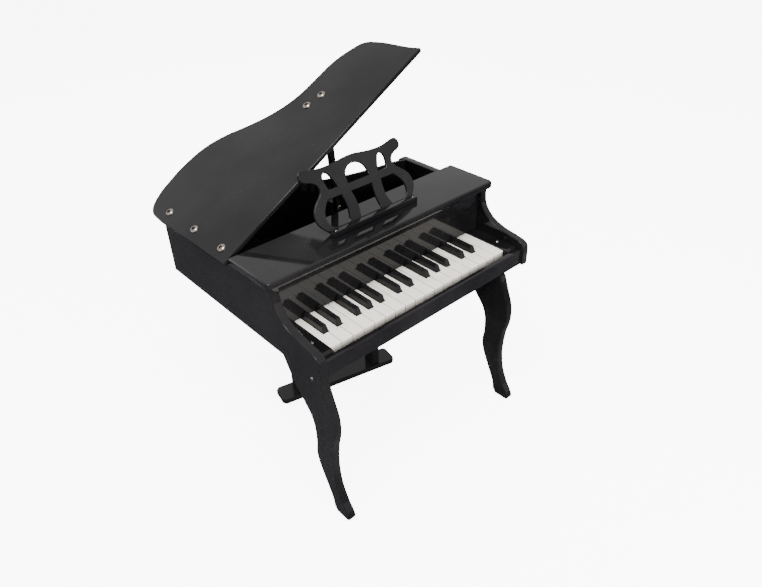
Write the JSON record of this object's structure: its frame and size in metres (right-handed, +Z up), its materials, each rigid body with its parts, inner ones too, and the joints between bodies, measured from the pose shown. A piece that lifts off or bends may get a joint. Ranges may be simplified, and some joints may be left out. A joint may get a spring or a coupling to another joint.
{
  "type": "miniature grand piano",
  "caption": "Black lacquered toy baby grand with hinged lid on a prop, cut-out music desk, playing keys that strike chime rods, shaped front legs and a rear foot bar.",
  "frame": {"origin": "on the floor, under the middle of the bounding box with the lid open", "axes": "+X from bass to treble along the keyboard, +Y from the player to the tail, +Z up"},
  "size_m": [0.5122, 0.5252, 0.639],
  "materials": {
    "black_lacquer": "polished black lacquer on fibreboard",
    "stained_board": "matt black stain",
    "white_key_plastic": "glossy warm white",
    "black_key_plastic": "glossy black",
    "nickel": "polished nickel",
    "steel": "plain steel"
  },
  "bodies": {
    "case": {"left_side_panel": "black_lacquer", "right_side_panel": "black_lacquer", "right_leg": "black_lacquer", "bent_panel": "black_lacquer", "bottom_board": "stained_board", "keyslip": "black_lacquer", "fallboard": "black_lacquer", "top_board": "black_lacquer", "left_key_block": "black_lacquer", "right_key_block": "black_lacquer", "left_block_screw": "nickel", "right_block_screw": "nickel", "key_pivot_rod": "steel", "chime_bar": "steel", "rear_foot_bar": "black_lacquer", "rear_post_left": "black_lacquer", "rear_post_right": "black_lacquer", "music_desk": "black_lacquer", "music_ledge": "black_lacquer", "lid_hinge_fixed_leaf": "steel", "prop_post": "stained_board"},
    "lid": {"lid": "black_lacquer", "lid_hinge_bolt_1": "nickel", "lid_hinge_bolt_2": "nickel", "lid_hinge_bolt_3": "nickel", "lid_hinge_leaf": "steel", "prop_plate": "stained_board", "prop_plate_bolt_1": "nickel", "prop_plate_bolt_2": "nickel"},
    "prop": {"lid_prop": "black_lacquer"},
    "white_key_01": {"white_key_01": "white_key_plastic"},
    "white_key_02": {"white_key_02": "white_key_plastic"},
    "white_key_03": {"white_key_03": "white_key_plastic"},
    "white_key_04": {"white_key_04": "white_key_plastic"},
    "white_key_05": {"white_key_05": "white_key_plastic"},
    "white_key_06": {"white_key_06": "white_key_plastic"},
    "white_key_07": {"white_key_07": "white_key_plastic"},
    "white_key_08": {"white_key_08": "white_key_plastic"},
    "white_key_09": {"white_key_09": "white_key_plastic"},
    "white_key_10": {"white_key_10": "white_key_plastic"},
    "white_key_11": {"white_key_11": "white_key_plastic"},
    "white_key_12": {"white_key_12": "white_key_plastic"},
    "white_key_13": {"white_key_13": "white_key_plastic"},
    "white_key_14": {"white_key_14": "white_key_plastic"},
    "white_key_15": {"white_key_15": "white_key_plastic"},
    "white_key_16": {"white_key_16": "white_key_plastic"},
    "white_key_17": {"white_key_17": "white_key_plastic"},
    "white_key_18": {"white_key_18": "white_key_plastic"},
    "black_key_01": {"black_key_01": "black_key_plastic"},
    "black_key_02": {"black_key_02": "black_key_plastic"},
    "black_key_03": {"black_key_03": "black_key_plastic"},
    "black_key_04": {"black_key_04": "black_key_plastic"},
    "black_key_05": {"black_key_05": "black_key_plastic"},
    "black_key_06": {"black_key_06": "black_key_plastic"},
    "black_key_07": {"black_key_07": "black_key_plastic"},
    "black_key_08": {"black_key_08": "black_key_plastic"},
    "black_key_09": {"black_key_09": "black_key_plastic"},
    "black_key_10": {"black_key_10": "black_key_plastic"},
    "black_key_11": {"black_key_11": "black_key_plastic"},
    "black_key_12": {"black_key_12": "black_key_plastic"}
  },
  "joints": [
    {"name": "lid_hinge", "type": "hinge", "parent": "case", "child": "lid", "pos_m": [-0.2413, 0.1033, 0.3897], "axis": [0, 1, 0], "range_deg": [0, 29.8]},
    {"name": "prop_pivot", "type": "hinge", "parent": "case", "child": "prop", "pos_m": [0.0443, 0.0818, 0.3528], "axis": [0, 1, 0], "range_deg": [0, 112]},
    {"name": "white_key_01_pivot", "type": "hinge", "parent": "case", "child": "white_key_01", "pos_m": [-0.18655, -0.0597, 0.2975], "axis": [1, 0, 0], "range_deg": [0, 2.7], "stiffness_Nm_per_rad": 1.2, "springref_deg": -2.86},
    {"name": "white_key_02_pivot", "type": "hinge", "parent": "case", "child": "white_key_02", "pos_m": [-0.16405, -0.0597, 0.2975], "axis": [1, 0, 0], "range_deg": [0, 2.7], "stiffness_Nm_per_rad": 1.2, "springref_deg": -2.86},
    {"name": "white_key_03_pivot", "type": "hinge", "parent": "case", "child": "white_key_03", "pos_m": [-0.14155, -0.0597, 0.2975], "axis": [1, 0, 0], "range_deg": [0, 2.7], "stiffness_Nm_per_rad": 1.2, "springref_deg": -2.86},
    {"name": "white_key_04_pivot", "type": "hinge", "parent": "case", "child": "white_key_04", "pos_m": [-0.11905, -0.0597, 0.2975], "axis": [1, 0, 0], "range_deg": [0, 2.7], "stiffness_Nm_per_rad": 1.2, "springref_deg": -2.86},
    {"name": "white_key_05_pivot", "type": "hinge", "parent": "case", "child": "white_key_05", "pos_m": [-0.09655, -0.0597, 0.2975], "axis": [1, 0, 0], "range_deg": [0, 2.7], "stiffness_Nm_per_rad": 1.2, "springref_deg": -2.86},
    {"name": "white_key_06_pivot", "type": "hinge", "parent": "case", "child": "white_key_06", "pos_m": [-0.07405, -0.0597, 0.2975], "axis": [1, 0, 0], "range_deg": [0, 2.7], "stiffness_Nm_per_rad": 1.2, "springref_deg": -2.86},
    {"name": "white_key_07_pivot", "type": "hinge", "parent": "case", "child": "white_key_07", "pos_m": [-0.05155, -0.0597, 0.2975], "axis": [1, 0, 0], "range_deg": [0, 2.7], "stiffness_Nm_per_rad": 1.2, "springref_deg": -2.86},
    {"name": "white_key_08_pivot", "type": "hinge", "parent": "case", "child": "white_key_08", "pos_m": [-0.02905, -0.0597, 0.2975], "axis": [1, 0, 0], "range_deg": [0, 2.7], "stiffness_Nm_per_rad": 1.2, "springref_deg": -2.86},
    {"name": "white_key_09_pivot", "type": "hinge", "parent": "case", "child": "white_key_09", "pos_m": [-0.00655, -0.0597, 0.2975], "axis": [1, 0, 0], "range_deg": [0, 2.7], "stiffness_Nm_per_rad": 1.2, "springref_deg": -2.86},
    {"name": "white_key_10_pivot", "type": "hinge", "parent": "case", "child": "white_key_10", "pos_m": [0.01595, -0.0597, 0.2975], "axis": [1, 0, 0], "range_deg": [0, 2.7], "stiffness_Nm_per_rad": 1.2, "springref_deg": -2.86},
    {"name": "white_key_11_pivot", "type": "hinge", "parent": "case", "child": "white_key_11", "pos_m": [0.03845, -0.0597, 0.2975], "axis": [1, 0, 0], "range_deg": [0, 2.7], "stiffness_Nm_per_rad": 1.2, "springref_deg": -2.86},
    {"name": "white_key_12_pivot", "type": "hinge", "parent": "case", "child": "white_key_12", "pos_m": [0.06095, -0.0597, 0.2975], "axis": [1, 0, 0], "range_deg": [0, 2.7], "stiffness_Nm_per_rad": 1.2, "springref_deg": -2.86},
    {"name": "white_key_13_pivot", "type": "hinge", "parent": "case", "child": "white_key_13", "pos_m": [0.08345, -0.0597, 0.2975], "axis": [1, 0, 0], "range_deg": [0, 2.7], "stiffness_Nm_per_rad": 1.2, "springref_deg": -2.86},
    {"name": "white_key_14_pivot", "type": "hinge", "parent": "case", "child": "white_key_14", "pos_m": [0.10595, -0.0597, 0.2975], "axis": [1, 0, 0], "range_deg": [0, 2.7], "stiffness_Nm_per_rad": 1.2, "springref_deg": -2.86},
    {"name": "white_key_15_pivot", "type": "hinge", "parent": "case", "child": "white_key_15", "pos_m": [0.12845, -0.0597, 0.2975], "axis": [1, 0, 0], "range_deg": [0, 2.7], "stiffness_Nm_per_rad": 1.2, "springref_deg": -2.86},
    {"name": "white_key_16_pivot", "type": "hinge", "parent": "case", "child": "white_key_16", "pos_m": [0.15095, -0.0597, 0.2975], "axis": [1, 0, 0], "range_deg": [0, 2.7], "stiffness_Nm_per_rad": 1.2, "springref_deg": -2.86},
    {"name": "white_key_17_pivot", "type": "hinge", "parent": "case", "child": "white_key_17", "pos_m": [0.17345, -0.0597, 0.2975], "axis": [1, 0, 0], "range_deg": [0, 2.7], "stiffness_Nm_per_rad": 1.2, "springref_deg": -2.86},
    {"name": "white_key_18_pivot", "type": "hinge", "parent": "case", "child": "white_key_18", "pos_m": [0.19595, -0.0597, 0.2975], "axis": [1, 0, 0], "range_deg": [0, 2.7], "stiffness_Nm_per_rad": 1.2, "springref_deg": -2.86},
    {"name": "black_key_01_pivot", "type": "hinge", "parent": "case", "child": "black_key_01", "pos_m": [-0.1789, -0.0597, 0.2975], "axis": [1, 0, 0], "range_deg": [0, 2.7], "stiffness_Nm_per_rad": 1.2, "springref_deg": -2.86},
    {"name": "black_key_02_pivot", "type": "hinge", "parent": "case", "child": "black_key_02", "pos_m": [-0.1512, -0.0597, 0.2975], "axis": [1, 0, 0], "range_deg": [0, 2.7], "stiffness_Nm_per_rad": 1.2, "springref_deg": -2.86},
    {"name": "black_key_03_pivot", "type": "hinge", "parent": "case", "child": "black_key_03", "pos_m": [-0.1118, -0.0597, 0.2975], "axis": [1, 0, 0], "range_deg": [0, 2.7], "stiffness_Nm_per_rad": 1.2, "springref_deg": -2.86},
    {"name": "black_key_04_pivot", "type": "hinge", "parent": "case", "child": "black_key_04", "pos_m": [-0.0861, -0.0597, 0.2975], "axis": [1, 0, 0], "range_deg": [0, 2.7], "stiffness_Nm_per_rad": 1.2, "springref_deg": -2.86},
    {"name": "black_key_05_pivot", "type": "hinge", "parent": "case", "child": "black_key_05", "pos_m": [-0.0608, -0.0597, 0.2975], "axis": [1, 0, 0], "range_deg": [0, 2.7], "stiffness_Nm_per_rad": 1.2, "springref_deg": -2.86},
    {"name": "black_key_06_pivot", "type": "hinge", "parent": "case", "child": "black_key_06", "pos_m": [-0.0214, -0.0597, 0.2975], "axis": [1, 0, 0], "range_deg": [0, 2.7], "stiffness_Nm_per_rad": 1.2, "springref_deg": -2.86},
    {"name": "black_key_07_pivot", "type": "hinge", "parent": "case", "child": "black_key_07", "pos_m": [0.0063, -0.0597, 0.2975], "axis": [1, 0, 0], "range_deg": [0, 2.7], "stiffness_Nm_per_rad": 1.2, "springref_deg": -2.86},
    {"name": "black_key_08_pivot", "type": "hinge", "parent": "case", "child": "black_key_08", "pos_m": [0.0457, -0.0597, 0.2975], "axis": [1, 0, 0], "range_deg": [0, 2.7], "stiffness_Nm_per_rad": 1.2, "springref_deg": -2.86},
    {"name": "black_key_09_pivot", "type": "hinge", "parent": "case", "child": "black_key_09", "pos_m": [0.0714, -0.0597, 0.2975], "axis": [1, 0, 0], "range_deg": [0, 2.7], "stiffness_Nm_per_rad": 1.2, "springref_deg": -2.86},
    {"name": "black_key_10_pivot", "type": "hinge", "parent": "case", "child": "black_key_10", "pos_m": [0.0967, -0.0597, 0.2975], "axis": [1, 0, 0], "range_deg": [0, 2.7], "stiffness_Nm_per_rad": 1.2, "springref_deg": -2.86},
    {"name": "black_key_11_pivot", "type": "hinge", "parent": "case", "child": "black_key_11", "pos_m": [0.1361, -0.0597, 0.2975], "axis": [1, 0, 0], "range_deg": [0, 2.7], "stiffness_Nm_per_rad": 1.2, "springref_deg": -2.86},
    {"name": "black_key_12_pivot", "type": "hinge", "parent": "case", "child": "black_key_12", "pos_m": [0.1638, -0.0597, 0.2975], "axis": [1, 0, 0], "range_deg": [0, 2.7], "stiffness_Nm_per_rad": 1.2, "springref_deg": -2.86}
  ],
  "couplings": [
    {"joint": "prop_pivot", "follows": "lid_hinge", "ratio": 3.75}
  ]
}
